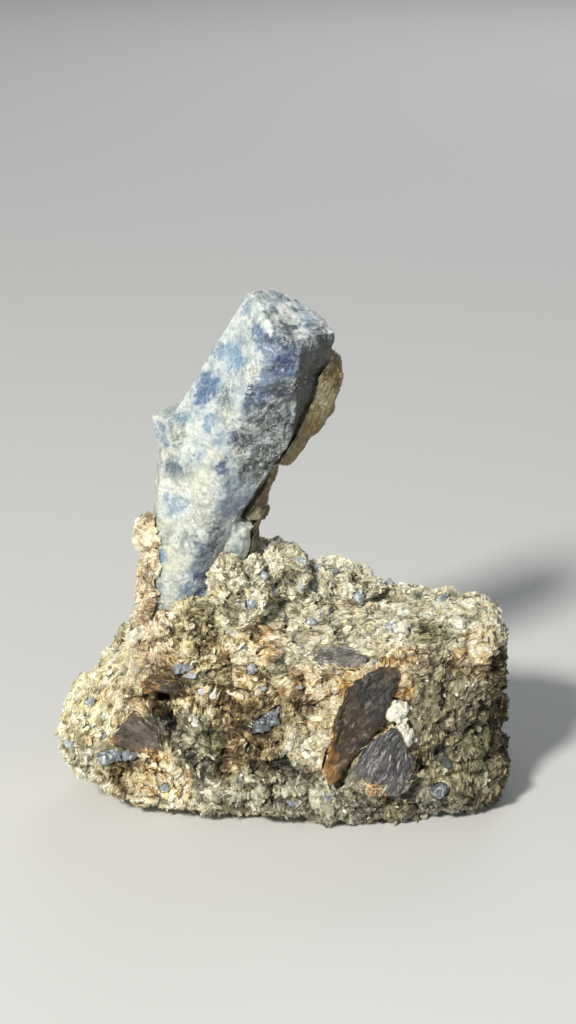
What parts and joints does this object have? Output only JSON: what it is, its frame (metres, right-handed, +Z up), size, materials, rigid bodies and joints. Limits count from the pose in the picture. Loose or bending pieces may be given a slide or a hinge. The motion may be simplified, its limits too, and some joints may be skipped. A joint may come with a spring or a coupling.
{
  "type": "mineral specimen",
  "caption": "Sapphire in matrix: a leaning six-sided blue-grey corundum crystal standing out of a block of golden mica schist, free-standing on a flat foot.",
  "frame": {"origin": "centre of the foot of the bounding box, on the surface that the rock stands on", "axes": "+Z up as the specimen stands, +X to the right towards the block's square end, +Y to the back"},
  "size_m": [0.0702, 0.0322, 0.0801],
  "materials": {
    "schist": "felted mica flakes, cream, gold and brown, sparkling",
    "sapphire": "sugary pale blue-grey crust with royal-blue patches",
    "blue_corundum": "waxy translucent blue",
    "amber_mica": "pearly amber sheets",
    "bronze_mica": "glossy bronze-brown cleavage",
    "dark_mica": "glossy grey-black cleavage",
    "feldspar": "matt white, granular"
  },
  "bodies": {
    "root": {"feldspar_grain_1": "feldspar", "feldspar_grain_2": "feldspar", "feldspar_grain_3": "feldspar", "feldspar_grain_4": "feldspar", "feldspar_lobes": "feldspar", "matrix_rock": "schist", "mica_book_back": "dark_mica", "mica_book_bronze": "bronze_mica", "mica_book_dark": "dark_mica", "mica_book_ledge": "bronze_mica", "mica_book_left": "dark_mica", "mica_book_top": "dark_mica", "mica_crust_left": "amber_mica", "mica_crust_right": "amber_mica", "sapphire_crystal": "sapphire", "sapphire_grain_1": "blue_corundum", "sapphire_grain_10": "blue_corundum", "sapphire_grain_11": "blue_corundum", "sapphire_grain_12": "blue_corundum", "sapphire_grain_13": "blue_corundum", "sapphire_grain_14": "blue_corundum", "sapphire_grain_15": "blue_corundum", "sapphire_grain_16": "blue_corundum", "sapphire_grain_17": "blue_corundum", "sapphire_grain_18": "blue_corundum", "sapphire_grain_19": "blue_corundum", "sapphire_grain_2": "blue_corundum", "sapphire_grain_3": "blue_corundum", "sapphire_grain_4": "blue_corundum", "sapphire_grain_5": "blue_corundum", "sapphire_grain_6": "blue_corundum", "sapphire_grain_7": "blue_corundum", "sapphire_grain_8": "blue_corundum", "sapphire_grain_9": "blue_corundum", "sapphire_prism_ledge": "blue_corundum", "sapphire_prism_left": "blue_corundum", "sapphire_prism_small": "blue_corundum", "sapphire_sliver": "blue_corundum"}
  },
  "joints": []
}
